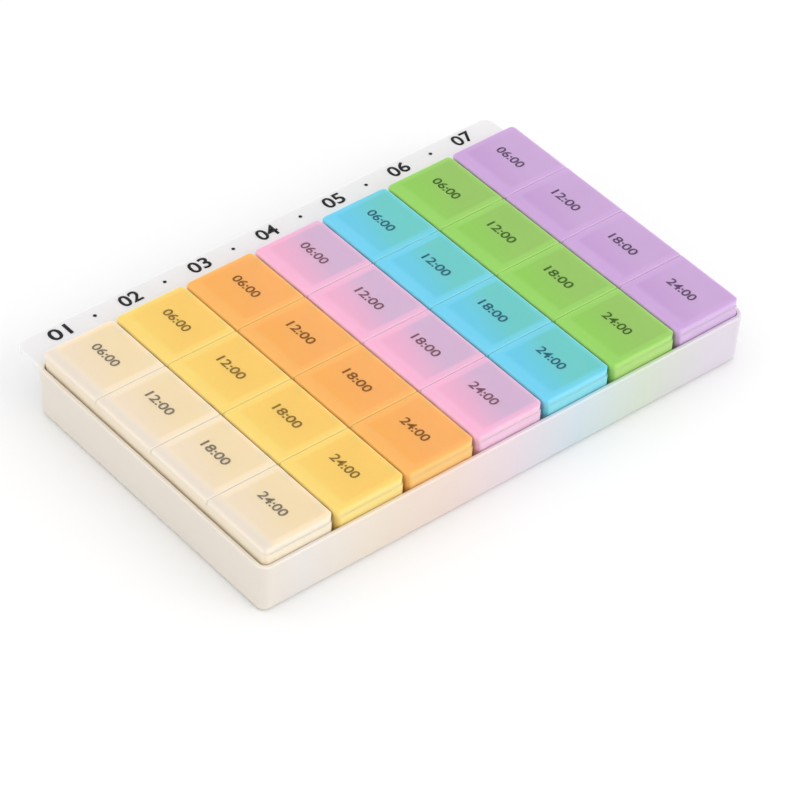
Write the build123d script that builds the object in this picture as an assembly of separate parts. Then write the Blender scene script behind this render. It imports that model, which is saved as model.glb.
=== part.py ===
"""Weekly pill organizer: a tray, seven daily boxes and four hinged lids on each box.

Millimetres, +Z up. The week runs along +X, and the tray's flange is at the back (+Y).
"""

import os

from build123d import *

# Layout of the week
days = ["sunday", "monday", "tuesday", "wednesday", "thursday", "friday", "saturday"]
times = ["morning", "noon", "night", "backup"]
day_pitch = 30.0
day_gap = 1.0
cell_pitch = 30.5
lid_gap = 0.2

# Tray
tray_height = 20.3
tray_wall = 1.7
tray_floor = 1.6
tray_corner = 2.4
tray_draft = 0.6
tray_bottom_round = 2.0
rim_round = 0.5
flange_depth = 13.0
flange_thickness = 1.5
flange_corner = 4.5

# Fits
box_side_clearance = 0.2
box_rest_clearance = 0.1
seat_clearance = 0.1
turn_clearance = 0.3
rim_fit_clearance = 0.4
pin_clearance = 0.05
pin_end_clearance = 0.2

# Daily box
box_height = 22.3
box_wall = 1.4
box_floor = 1.4
divider = 2.0
lip_overhang = 0.4
box_bottom_round = 1.0
pocket_round = 1.8

# Lid
lid_thickness = 2.4
lid_plate = 1.2
lid_corner = 2.2
lid_hinge_corner = 3.0
lid_edge_round = 1.2
lid_seam_round = 0.4
rim_depth = 1.4
rim_width = 1.0
rim_corner = 1.2

# Hinge. The axis is inside the lid's right-hand edge, and the ears are under its top.
hinge_reach = 1.2
hinge_drop = 0.6
end_cap = 0.5
cap_clearance = 0.2
ear_spread = 9.0
ear_width = 3.0
ear_radius = 0.9
ear_depth = 2.5
neck_thickness = 1.2
pin_radius = 0.45
pin_length = 2.5

# Sizes that follow
lid_width = day_pitch - day_gap
lid_length = cell_pitch - lid_gap
box_length = cell_pitch * len(times) - lid_gap
box_width = lid_width - lip_overhang
box_corner = tray_corner - box_side_clearance
swing_radius = (hinge_reach**2 + hinge_drop**2) ** 0.5

cavity_width = day_pitch * len(days) - day_gap + 2 * box_side_clearance
cavity_length = box_length + 2 * box_side_clearance
tray_width = cavity_width + 2 * tray_wall
tray_length = cavity_length + 2 * tray_wall
tray_centre_y = -flange_depth / 2

box_bottom = tray_floor + box_rest_clearance
box_top = box_bottom + box_height
axis_z = box_top + seat_clearance + hinge_drop
hinge_relief = swing_radius + turn_clearance
hinge_wall_top = axis_z - hinge_relief
ear_relief = ear_radius + turn_clearance

# How far an end lid's round corner reaches past the hinge axis, over the cap of the box's wall
cap_offset = lid_hinge_corner - end_cap - cap_clearance
cap_reach = hinge_reach - lid_hinge_corner + (lid_hinge_corner**2 - cap_offset**2) ** 0.5
cap_relief = (cap_reach**2 + hinge_drop**2) ** 0.5 + cap_clearance

# Places along a box, measured from its middle. X is 0 on the hinge axis.
box_right = hinge_reach
box_left = box_right - box_width
pocket_left = box_left + box_wall
pocket_right = box_right - box_wall
end_inside = box_length / 2 - box_wall
slot_width = ear_width + 2 * turn_clearance
slot_inner = ear_spread - slot_width / 2

low = (Align.MIN, Align.MIN, Align.MIN)
across = Rot(90, 0, 0)


def cell_y(row):
    """Middle of a lid along its box. Row 0 is at the back."""
    return ((len(times) - 1) / 2 - row) * cell_pitch


def block(x, y, z):
    """A box from a low and a high value along each axis."""
    return Pos(x[0], y[0], z[0]) * Box(x[1] - x[0], y[1] - y[0], z[1] - z[0], align=low)


def flange():
    """Flat plate along the back rim, rounded at its free corners and edges."""
    half = tray_width / 2 - tray_draft
    back = tray_centre_y + tray_length / 2
    plate = block(
        (-half, half),
        (back - tray_corner, back + flange_depth),
        (tray_height - flange_thickness, tray_height),
    )
    plate = fillet(plate.edges().filter_by(Axis.Z).group_by(Axis.Y)[-1], flange_corner)
    flat = plate.faces().filter_by(Axis.Z).edges()
    return fillet(flat.sort_by(Axis.Y)[2:], rim_round)


def tray():
    """Open tray with drafted walls, a rounded base and a flange along the back rim."""
    corner = tray_corner + tray_wall
    mouth = RectangleRounded(tray_width, tray_length, corner)
    base = RectangleRounded(
        tray_width - 2 * tray_draft, tray_length - 2 * tray_draft, corner - tray_draft
    )
    shell = loft([Pos(0, tray_centre_y, 0) * base, Pos(0, tray_centre_y, tray_height) * mouth])
    shell = fillet(shell.faces().sort_by(Axis.Z)[0].edges(), tray_bottom_round)
    shell = fillet(shell.faces().sort_by(Axis.Z)[-1].edges(), rim_round)
    inside = RectangleRounded(cavity_width, cavity_length, tray_corner)
    cavity = extrude(Pos(0, tray_centre_y, tray_floor) * inside, tray_height)
    body = shell + flange() - cavity
    rim = body.faces().filter_by(Axis.Z).sort_by(Axis.Z)[-1]
    return fillet(rim.inner_wires()[0].edges(), rim_round)


def pocket(row):
    """One compartment. The end ones stop at the end wall, the others at a divider."""
    y = cell_y(row)
    half = (cell_pitch - divider) / 2
    space = block(
        (pocket_left, pocket_right),
        (max(y - half, -end_inside), min(y + half, end_inside)),
        (box_bottom + box_floor, axis_z),
    )
    floor_edges = space.faces().sort_by(Axis.Z)[0].edges()
    return fillet(floor_edges + space.edges().filter_by(Axis.Z), pocket_round)


def ear():
    """Hinge ear: a barrel on the axis and a neck down the inside of the wall."""
    neck = block(
        (-ear_radius, neck_thickness - ear_radius),
        (-ear_width / 2, ear_width / 2),
        (hinge_wall_top - ear_depth, axis_z),
    )
    return neck + Pos(0, 0, axis_z) * across * Cylinder(ear_radius, ear_width)


def socket():
    """Blind round socket for one pin, open towards the middle of the lid (-Y)."""
    depth = pin_length - turn_clearance + pin_end_clearance
    hole = across * Cylinder(pin_radius + pin_clearance, 2 * depth)
    return Pos(0, -ear_width / 2, axis_z) * hole


def hinge_trough(radius, length):
    """Room above the hinge-side wall for the lids' edges to swing. It is open to the right."""
    round_part = Pos(0, 0, axis_z) * across * Cylinder(radius, length)
    open_part = block((0, lid_width), (-length / 2, length / 2), (axis_z - radius, axis_z))
    return round_part + open_part


def daily_box():
    """Four compartments in a row, with a low wall and two ears per lid on the hinge side."""
    body = block((box_left, box_right), (-box_length / 2, box_length / 2), (box_bottom, box_top))
    body = fillet(body.edges().filter_by(Axis.Z), box_corner)
    body = fillet(body.faces().sort_by(Axis.Z)[0].edges(), box_bottom_round)
    body -= hinge_trough(hinge_relief, box_length - 2 * end_cap)
    body -= hinge_trough(cap_relief, 2 * box_length)
    for row in range(len(times)):
        body -= pocket(row)
    for row in range(len(times)):
        body += Pos(0, cell_y(row) - ear_spread, 0) * ear()
        body += Pos(0, cell_y(row) + ear_spread, 0) * ear()
    for row in range(len(times)):
        body -= Pos(0, cell_y(row) + ear_spread, 0) * socket()
        body -= Pos(0, cell_y(row) - ear_spread, 0) * mirror(socket(), Plane.XZ)
    return body


def hinge_corner():
    """What is cut away to round the back lid's free corner beside the hinge."""
    centre_x = hinge_reach - lid_hinge_corner
    centre_y = lid_length / 2 - lid_hinge_corner
    square = block(
        (centre_x, hinge_reach + lid_hinge_corner),
        (centre_y, lid_length / 2 + lid_hinge_corner),
        (-lid_thickness, lid_thickness),
    )
    return square - Pos(centre_x, centre_y, 0) * Cylinder(lid_hinge_corner, 2 * lid_thickness)


def lid_slab(row):
    """Lid plate, well rounded at its free edges and nearly square along its hinge and other lids."""
    left = hinge_reach - lid_width
    half = lid_length / 2
    top = lid_thickness - hinge_drop
    back_spare = 0 if row == 0 else lid_length
    front_spare = 0 if row == len(times) - 1 else lid_length
    slab = block(
        (left, hinge_reach + lid_width),
        (-half - front_spare, half + back_spare),
        (-hinge_drop, top),
    )
    slab = fillet(slab.edges().filter_by(Axis.Z), lid_corner)
    slab = fillet(slab.faces().sort_by(Axis.Z)[-1].edges(), lid_edge_round)
    slab &= block((left, hinge_reach), (-half, half), (-hinge_drop, top))

    cut_faces = [slab.faces().filter_by(Axis.X).sort_by(Axis.X)[-1]]
    if front_spare:
        cut_faces.append(slab.faces().filter_by(Axis.Y).sort_by(Axis.Y)[0])
    if back_spare:
        cut_faces.append(slab.faces().filter_by(Axis.Y).sort_by(Axis.Y)[-1])
    cut_edges = set()
    for face in cut_faces:
        cut_edges.update(face.edges().sort_by(Axis.Z)[1:])
    slab = fillet(cut_edges, lid_seam_round)
    if not back_spare:
        slab -= hinge_corner()
    if not front_spare:
        slab -= mirror(hinge_corner(), Plane.XZ)
    return slab


def lid(row):
    """Flat lid with a lip, two pins and a locating rim. The hinge axis is its Y axis."""
    slab = lid_slab(row)
    top = lid_thickness - hinge_drop
    rim_left = pocket_left + rim_fit_clearance
    rim_right = -ear_radius - rim_fit_clearance
    rim_half = lid_length / 2 - box_wall - rim_fit_clearance
    rim_bottom = -hinge_drop - rim_depth
    rim = block((rim_left, rim_right), (-rim_half, rim_half), (rim_bottom, 0))
    slab += fillet(rim.edges().filter_by(Axis.Z), rim_corner)
    slab -= block(
        (rim_left + rim_width, rim_right - rim_width),
        (rim_width - rim_half, rim_half - rim_width),
        (rim_bottom, top - lid_plate),
    )

    for side in (-1, 1):
        middle = side * ear_spread
        slab -= block(
            (-ear_relief, lid_width),
            (middle - slot_width / 2, middle + slot_width / 2),
            (rim_bottom, ear_relief),
        )
        pin = across * Cylinder(pin_radius, 2 * pin_length)
        slab += Pos(0, side * slot_inner, 0) * pin
    return slab


os.makedirs("parts", exist_ok=True)
export_step(tray(), "parts/tray.step")
one_box = daily_box()
lids = [lid(row) for row in range(len(times))]
for number, day in enumerate(days):
    axis_x = (number - (len(days) - 1) / 2) * day_pitch + lid_width / 2 - hinge_reach
    export_step(Pos(axis_x, tray_centre_y, 0) * one_box, f"parts/{day}_box.step")
    for row, time in enumerate(times):
        place = Pos(axis_x, tray_centre_y + cell_y(row), axis_z)
        export_step(place * lids[row], f"parts/{day}_{time}_lid.step")
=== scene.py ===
from math import cos, pi, radians, sin

import bmesh
import bpy
from mathutils import Matrix, Vector


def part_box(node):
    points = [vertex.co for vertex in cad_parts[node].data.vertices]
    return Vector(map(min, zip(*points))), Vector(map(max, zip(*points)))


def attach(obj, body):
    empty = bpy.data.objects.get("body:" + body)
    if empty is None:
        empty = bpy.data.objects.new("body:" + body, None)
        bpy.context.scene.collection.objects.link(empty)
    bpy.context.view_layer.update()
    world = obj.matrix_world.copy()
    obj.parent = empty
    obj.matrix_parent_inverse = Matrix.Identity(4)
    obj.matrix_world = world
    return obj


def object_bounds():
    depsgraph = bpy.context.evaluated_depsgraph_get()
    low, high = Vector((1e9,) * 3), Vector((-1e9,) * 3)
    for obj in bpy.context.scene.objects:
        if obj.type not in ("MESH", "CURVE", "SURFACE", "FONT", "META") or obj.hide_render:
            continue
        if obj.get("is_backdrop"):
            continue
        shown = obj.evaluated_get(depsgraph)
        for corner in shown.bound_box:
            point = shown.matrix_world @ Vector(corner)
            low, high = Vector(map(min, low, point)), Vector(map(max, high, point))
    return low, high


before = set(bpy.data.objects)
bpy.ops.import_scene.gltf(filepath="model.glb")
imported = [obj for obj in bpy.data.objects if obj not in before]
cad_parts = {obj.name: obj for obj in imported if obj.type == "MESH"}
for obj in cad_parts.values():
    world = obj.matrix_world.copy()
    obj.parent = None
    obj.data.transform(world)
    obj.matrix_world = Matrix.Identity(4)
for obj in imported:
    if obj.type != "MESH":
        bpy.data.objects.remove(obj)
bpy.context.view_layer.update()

MM = 0.001
DAYS = ["sunday", "monday", "tuesday", "wednesday", "thursday", "friday", "saturday"]
TIMES = ["morning", "noon", "night", "backup"]
LID_MARKS = ["06:00", "12:00", "18:00", "24:00"]
STRIP = 30.0 * MM
CELL = 30.5 * MM

# Plastic colours, linear
TRAY_COLOUR = (0.81, 0.80, 0.805)
DAY_COLOURS = {
    "sunday": (0.86, 0.71, 0.535),
    "monday": (1.00, 0.62, 0.135),
    "tuesday": (1.00, 0.42, 0.075),
    "wednesday": (0.86, 0.42, 0.60),
    "thursday": (0.12, 0.58, 0.79),
    "friday": (0.27, 0.595, 0.078),
    "saturday": (0.55, 0.337, 0.635),
}
WHITE = (1.0, 1.0, 1.0)
BLACK = (0.0, 0.0, 0.0)

# Painted light: outer faces and the tops of seams get a paler colour that lifts their shade, the
# plastic's own colour to this power
EDGE_LIGHT_POWER = 0.68

# How far light spreads in each frosted piece
BOX_SPREAD = 1.2 * MM
LID_SPREAD = 1.6 * MM
TRAY_SPREAD = 1.5 * MM

# How much of the next strip's colour is painted on a box, and on a lid's panel and rim, as painted
# light coming through the plastic
BOX_NEXT = 0.05
PANEL_NEXT = 0.15
RIM_NEXT = 0.06

# How much of the strips' colours, a little darkened, is painted on the tray's walls, as painted
# light and shade coming through the plastic
WALL_TINT = 0.26

# Where a lid's looks start and stop changing, measured from its left edge
LEFT_RIM = (3.6 * MM, 6.4 * MM)
HINGE_RIM = (26.4 * MM, 28.2 * MM)
NEXT_COLOUR = (3.0 * MM, 21.0 * MM)
BESIDE_TRAY = (1.5 * MM, 7.0 * MM)

# The same, measured from the middle of the seam between two lids
SEAM_RIM = (1.9 * MM, 3.6 * MM)
SEAM_EDGE = (0.1 * MM, 0.9 * MM)

# The same, as depths below an outer face and below a lid's top
OUTER_EDGE = (0.9 * MM, 0.1 * MM)
SEAM_DEPTH = (1.3 * MM, 0.6 * MM)

# The same up a box, and along the tray to where its back wall ends and its flange starts
BOX_RISE = (0.0, 24.0 * MM)
FLANGE_START = (53.0 * MM, 57.0 * MM)

# Prints, raised a little above the plastic that they sink into. A number has a height, a width
# and a weight, which thickens its strokes.
PRINT = 0.03 * MM
PRINT_SINK = 0.02 * MM
FLANGE_LINE = 64.7 * MM
FLANGE_NUMBER = (5.8 * MM, 8.4 * MM, 0.018)
FLANGE_INK = (0.012, 0.012, 0.016)
DOT_RADIUS = 0.7 * MM
LID_NUMBER = (3.7 * MM, 13.0 * MM, 0.016)
LID_NUMBER_OFFSET = Vector((1.8, 1.0, 0)) * MM

# Lamps: place, power in watts and size, in metres
LAMPS = {
    "key": ((-0.5, 0.5, 1.3), 1.2, 1.0),
    "fill": ((0.5, -1.2, 0.8), 4.0, 1.2),
}
FLOOR_COLOUR = (0.93, 0.93, 0.93)
FLOOR_HALF = 4.0
FLOOR_DROP = 0.2 * MM

# Camera, from a fit of the photograph: the focal length is in pixels of the frame
FRAME_WIDTH = 800
FOCAL_LENGTH = 4095.2
SENSOR_WIDTH = 36.0
CAMERA_TURN = radians(-41.498)
CAMERA_RISE = radians(41.835)
CAMERA_ROLL = radians(3.145)
CAMERA_AIM = Vector((-10.856, -23.127, 10.0)) * MM
CAMERA_DISTANCE = 1.39627


class Value:
    """A socket in a material. Its operators add Math nodes."""

    def __init__(self, tree, socket=None):
        self.tree = tree
        self.socket = socket

    def node(self, kind, settings, sockets, out=0):
        """Adds a node: its settings first, then the values or links of its sockets."""
        made = self.tree.nodes.new(kind)
        for name, setting in settings.items():
            if name == "stops":
                elements = made.color_ramp.elements
                for spot, colour in setting:
                    elements.new(spot).color = (*colour, 1)
                elements.remove(elements[len(elements) - 1])
                elements.remove(elements[0])
            else:
                setattr(made, name, setting)
        for key, value in sockets.items():
            if isinstance(value, Value):
                self.tree.links.new(value.socket, made.inputs[key])
            else:
                made.inputs[key].default_value = value
        return Value(self.tree, made.outputs[out])

    def maths(self, operation, first, second):
        return self.node("ShaderNodeMath", {"operation": operation}, {0: first, 1: second})

    def __add__(self, other):
        return self.maths("ADD", self, other)

    def __sub__(self, other):
        return self.maths("SUBTRACT", self, other)

    def __mul__(self, other):
        return self.maths("MULTIPLY", self, other)

    def __radd__(self, other):
        return self.maths("ADD", other, self)

    def __rsub__(self, other):
        return self.maths("SUBTRACT", other, self)

    def __rmul__(self, other):
        return self.maths("MULTIPLY", other, self)

    def step(self, low, high):
        """Rises smoothly from 0, at low, to 1, at high."""
        settings = {"interpolation_type": "SMOOTHSTEP"}
        return self.node("ShaderNodeMapRange", settings, {0: self, 1: low, 2: high})

    def mix(self, low, high):
        """A colour between low, at 0, and high, at 1."""
        low, high = (c if isinstance(c, Value) else (*c, 1) for c in (low, high))
        return self.node("ShaderNodeMix", {"data_type": "RGBA"}, {0: self, 6: low, 7: high}, 2)

    def feed(self, socket):
        self.tree.links.new(self.socket, socket)


def new_material(name):
    """A material, the value that its nodes start from, and its shader."""
    material = bpy.data.materials.new(name)
    material.use_nodes = True
    return material, Value(material.node_tree), material.node_tree.nodes["Principled BSDF"]


def place(start):
    """The piece's own X, Y and Z, in metres."""
    where = start.node("ShaderNodeTexCoord", {}, {}, "Object")
    return [start.node("ShaderNodeSeparateXYZ", {}, {0: where}, axis) for axis in range(3)]


def noise(start, scale, detail):
    """Noise from 0 to 1, scale in waves per metre."""
    where = start.node("ShaderNodeTexCoord", {}, {}, "Object")
    return start.node("ShaderNodeTexNoise", {}, {"Vector": where, "Scale": scale, "Detail": detail})


def shade(colour, factor):
    return tuple(min(c * factor, 1) for c in colour)


def blend(first, second, share):
    return tuple(a + (b - a) * share for a, b in zip(first, second))


def through(near, far, share):
    """The colour of light that far plastic has filtered as well as near."""
    return tuple(a ** (1 - share) * b**share for a, b in zip(near, far))


def painted_edge_light(colour):
    """A paler, clearer colour of the same plastic, painted on outer faces and seams as painted
    light that lifts their shade.
    """
    return tuple(c**EDGE_LIGHT_POWER for c in colour)


def beyond(number):
    """The colour on the right of a strip: the next strip's, or the tray's."""
    return DAY_COLOURS[DAYS[number + 1]] if number + 1 < len(DAYS) else TRAY_COLOUR


def outer_faces(start, x, y, side_node, end_node):
    """1 on the long sides of one node and on the ends of another, and 0 inside of them."""
    side_low, side_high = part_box(side_node)
    end_low, end_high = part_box(end_node)
    masks = []
    for along, low, high in ((x, side_low.x, side_high.x), (y, end_low.y, end_high.y)):
        half = (high - low) / 2
        off_middle = start.maths("ABSOLUTE", along - (low + high) / 2, 0.0)
        masks.append(off_middle.step(*(half - depth for depth in OUTER_EDGE)))
    return start.maths("MAXIMUM", *masks)


def frosted(start, shader, colour, spread):
    """Frosted plastic: faint clouding and grain, and light that spreads inside it."""
    cloud = noise(start, 45.0, 3.0)
    grain = noise(start, 1600.0, 1.0)
    patches = noise(start, 220.0, 2.0)
    (cloud * 0.05 + grain * 0.03).mix(colour, BLACK).feed(shader.inputs["Base Color"])
    (patches * 0.14 + 0.36).feed(shader.inputs["Roughness"])
    bump = {"Height": grain, "Strength": 0.10, "Distance": 0.05 * MM}
    start.node("ShaderNodeBump", {}, bump).feed(shader.inputs["Normal"])
    shader.inputs["Subsurface Weight"].default_value = 1.0
    shader.inputs["Subsurface Radius"].default_value = (1.0, 1.0, 1.0)
    shader.inputs["Subsurface Scale"].default_value = spread
    shader.inputs["IOR"].default_value = 1.49


def box_plastic(number, day):
    """A little darker towards the base, with the next strip's colour painted faintly on as light
    coming through the plastic, and paler outer faces, painted light that lifts their shade.
    """
    material, start, shader = new_material(day + "_box_frosted")
    x, y, z = place(start)
    # Painted light: the next strip's colour, as if seen through the box's walls, and a slight
    # overall lift
    own = shade(through(DAY_COLOURS[day], beyond(number), BOX_NEXT), 1.06)
    # Darker towards the base
    base = shade(own, 0.95)
    body = z.step(*BOX_RISE).mix(base, own)
    # Painted light: a paler colour on the outer faces lifts the shade on them
    outside = outer_faces(start, x, y, day + "_box", day + "_box")
    frosted(start, shader, outside.mix(body, painted_edge_light(own)), BOX_SPREAD)
    return material


def lid_plastic(number, day):
    """Painted light and shade: the rim is painted paler and the panel over the compartment darker.

    The next strip's colour is painted faintly on the right-hand part, and the tray's on the
    left-hand rim of the first strip, as light coming through the plastic. The tops of the seams and
    the outer faces get a paler colour, painted light that lifts their shade. The four lids of a
    strip share the material.
    """
    material, start, shader = new_material(day + "_lid_frosted")
    x, y, z = place(start)
    own = DAY_COLOURS[day]
    back_low, back_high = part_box(f"{day}_morning_lid")
    seam_y = (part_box(f"{day}_noon_lid")[1].y + back_low.y) / 2
    inward = x - back_low.x
    from_seam = start.maths("PINGPONG", y - seam_y, CELL / 2)
    from_middle = start.maths("FLOORED_MODULO", y - seam_y, CELL) - CELL / 2

    # Painted light and shade: the panel over the compartment keeps a darker colour, the rims a
    # paler one
    panel = inward.step(*LEFT_RIM) * from_seam.step(*SEAM_RIM)
    panel = panel * (1 - inward.step(*HINGE_RIM) * 0.5)
    slant = from_middle * 0.25
    # Painted light: the next strip's colour on the right-hand part, as if seen through the plastic
    rightward = (inward - slant).step(*NEXT_COLOUR)
    deep = rightward.mix(own, through(own, beyond(number), PANEL_NEXT))
    pale = blend(shade(own, 1.07), WHITE, 0.03)
    rim = rightward.mix(pale, through(pale, beyond(number), RIM_NEXT))
    # Painted light: the tray's colour, darkened, on the first strip's left-hand rim
    if number == 0:
        tray_inside = shade(TRAY_COLOUR, 0.88)
        rim = inward.step(*BESIDE_TRAY).mix(blend(own, tray_inside, 0.45), rim)

    # Painted light: a paler line at the top of each seam and on the outer faces, lifting their
    # shade
    near_top = z.step(*(back_high.z - depth for depth in SEAM_DEPTH))
    seam = (1 - from_seam.step(*SEAM_EDGE)) * near_top
    outside = outer_faces(start, x, y, f"{day}_morning_lid", day + "_box")
    edge = start.maths("MAXIMUM", seam, outside)
    frosted(start, shader, edge.mix(panel.mix(rim, deep), painted_edge_light(own)), LID_SPREAD)
    return material


def tray_plastic():
    """Milky white. The strips' colours, a little darkened, are painted faintly on its walls as
    light and shade coming through the plastic, but not on the flange.
    """
    material, start, shader = new_material("tray_frosted")
    x, y, _ = place(start)
    week = len(DAYS)
    colours = [DAY_COLOURS[day] for day in DAYS]
    spots = [0.005] + [(number + 0.5) / week for number in range(week)]
    left_wall = through(colours[0], colours[1], 0.45)
    # Painted light and shade: each strip's colour, darkened, on the wall where that strip stands
    # behind it
    stops = [(spot, shade(c, 0.85)) for spot, c in zip(spots, [left_wall] + colours)]
    along = x * (1 / (week * STRIP)) + 0.5
    strips = start.node("ShaderNodeValToRGB", {"stops": stops}, {0: along})
    share = (1 - y.step(*FLANGE_START)) * WALL_TINT
    frosted(start, shader, share.mix(TRAY_COLOUR, strips), TRAY_SPREAD)
    return material


def ink(name, colour):
    """Dull ink, a little uneven."""
    material, start, shader = new_material(name)
    speckle = noise(start, 900.0, 2.0)
    speckle.mix(shade(colour, 0.7), shade(colour, 1.3)).feed(shader.inputs["Base Color"])
    (noise(start, 400.0, 2.0) * 0.2 + 0.5).feed(shader.inputs["Roughness"])
    shader.inputs["Specular IOR Level"].default_value = 0.2
    return material


def add_object(name, data):
    made = bpy.data.objects.new(name, data)
    bpy.context.scene.collection.objects.link(made)
    return made


def printed_number(name, text, height, width, weight, spot):
    """A number as a thin raised print."""
    font = bpy.data.curves.new(name, "FONT")
    font.body = text
    font.align_x = "CENTER"
    font.align_y = "CENTER"
    font.offset = weight
    font.resolution_u = 6
    lettering = add_object(name, font)
    bpy.context.view_layer.update()
    mesh = bpy.data.meshes.new_from_object(lettering)
    bpy.data.objects.remove(lettering)

    low = Vector([min(v.co[i] for v in mesh.vertices) for i in range(3)])
    high = Vector([max(v.co[i] for v in mesh.vertices) for i in range(3)])
    size = high - low
    fit = Matrix.Diagonal((width / size.x, height / size.y, 1, 1))
    mesh.transform(spot @ fit @ Matrix.Translation(-(low + high) / 2))

    film = bmesh.new()
    film.from_mesh(mesh)
    bmesh.ops.remove_doubles(film, verts=film.verts, dist=1e-7)
    top = bmesh.ops.extrude_face_region(film, geom=film.faces[:])
    raised = [v for v in top["geom"] if isinstance(v, bmesh.types.BMVert)]
    bmesh.ops.translate(film, verts=raised, vec=(0, 0, PRINT))
    bmesh.ops.recalc_face_normals(film, faces=film.faces[:])
    film.to_mesh(mesh)
    film.free()
    mesh.name = name
    return add_object(name, mesh)


def printed_dot(name, radius, spot):
    """A dot as a thin raised print."""
    film = bmesh.new()
    bmesh.ops.create_cone(
        film,
        cap_ends=True,
        segments=32,
        radius1=radius,
        radius2=radius,
        depth=PRINT,
        matrix=spot @ Matrix.Translation((0, 0, PRINT / 2)),
    )
    mesh = bpy.data.meshes.new(name)
    film.to_mesh(mesh)
    film.free()
    return add_object(name, mesh)


def settle(printed, material, body):
    """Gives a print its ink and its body."""
    printed.data.materials.clear()
    printed.data.materials.append(material)
    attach(printed, body)


def dress(node, material):
    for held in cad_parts[node].material_slots:
        held.material = material


# Tray, boxes and lids keep their CAD shapes
dress("tray", tray_plastic())
for number, day in enumerate(DAYS):
    dress(day + "_box", box_plastic(number, day))
    lid_material = lid_plastic(number, day)
    for time in TIMES:
        dress(f"{day}_{time}_lid", lid_material)

# Prints: plain numbers and dots on the flange, and plain clock times on the lids
flange_ink = ink("flange_ink", FLANGE_INK)
flange_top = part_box("tray")[1].z
half_strip = Matrix.Translation((STRIP / 2, 0, 0))
along_strip = Matrix.Rotation(-pi / 2, 4, "Z")
for number, day in enumerate(DAYS):
    low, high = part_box(f"{day}_morning_lid")
    spot = Matrix.Translation(((low.x + high.x) / 2, FLANGE_LINE, flange_top - PRINT_SINK))
    printed = printed_number(f"{day}_number", f"0{number + 1}", *FLANGE_NUMBER, spot)
    settle(printed, flange_ink, "tray")
    if number + 1 < len(DAYS):
        printed = printed_dot(f"{day}_dot", DOT_RADIUS, half_strip @ spot)
        settle(printed, flange_ink, "tray")
    dark = tuple(0.28 * c**1.4 for c in DAY_COLOURS[day])
    lid_ink = ink(day + "_ink", dark)
    for time, mark in zip(TIMES, LID_MARKS):
        body = f"{day}_{time}_lid"
        low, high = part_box(body)
        top_middle = Vector(((low.x + high.x) / 2, (low.y + high.y) / 2, high.z - PRINT_SINK))
        spot = Matrix.Translation(top_middle + LID_NUMBER_OFFSET) @ along_strip
        printed = printed_number(body + "_mark", mark, *LID_NUMBER, spot)
        settle(printed, lid_ink, body)


def studio():
    """Pale floor, white surround and soft lamps."""
    sheet = bmesh.new()
    bmesh.ops.create_grid(sheet, x_segments=1, y_segments=1, size=FLOOR_HALF)
    bmesh.ops.translate(sheet, verts=sheet.verts, vec=(0, 0, -FLOOR_DROP))
    mesh = bpy.data.meshes.new("floor")
    sheet.to_mesh(mesh)
    sheet.free()
    floor = add_object("floor", mesh)
    material, _, shader = new_material("floor_white")
    shader.inputs["Base Color"].default_value = (*FLOOR_COLOUR, 1)
    shader.inputs["Roughness"].default_value = 0.9
    shader.inputs["Specular IOR Level"].default_value = 0.1
    floor.data.materials.append(material)
    floor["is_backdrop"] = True

    world = bpy.data.worlds.new("studio")
    bpy.context.scene.world = world
    world.use_nodes = True
    surround = world.node_tree.nodes["Background"]
    surround.inputs["Color"].default_value = (*WHITE, 1)
    surround.inputs["Strength"].default_value = 1.0

    for name, (spot, power, size) in LAMPS.items():
        lamp = bpy.data.lights.new(name, "AREA")
        lamp.energy = power
        lamp.size = size
        holder = add_object(name, lamp)
        holder.location = spot
        holder.rotation_euler = (-Vector(spot)).to_track_quat("-Z", "Y").to_euler()


def camera():
    """The photograph's viewpoint."""
    level_away = cos(CAMERA_RISE)
    away = Vector((sin(CAMERA_TURN) * level_away, -cos(CAMERA_TURN) * level_away, sin(CAMERA_RISE)))
    level = (-away).cross(Vector((0, 0, 1))).normalized()
    upright = level.cross(-away)
    right = cos(CAMERA_ROLL) * level + sin(CAMERA_ROLL) * upright
    up = cos(CAMERA_ROLL) * upright - sin(CAMERA_ROLL) * level
    data = bpy.data.cameras.new("photo_camera")
    data.sensor_fit = "HORIZONTAL"
    data.sensor_width = SENSOR_WIDTH
    data.lens = SENSOR_WIDTH * FOCAL_LENGTH / FRAME_WIDTH
    data.clip_end = 20.0
    holder = add_object("photo_camera", data)
    basis = Matrix((right, up, away)).transposed().to_4x4()
    holder.matrix_world = Matrix.Translation(CAMERA_AIM + away * CAMERA_DISTANCE) @ basis
    bpy.context.scene.camera = holder


studio()
camera()
bpy.context.scene.view_settings.view_transform = "Standard"

low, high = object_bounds()
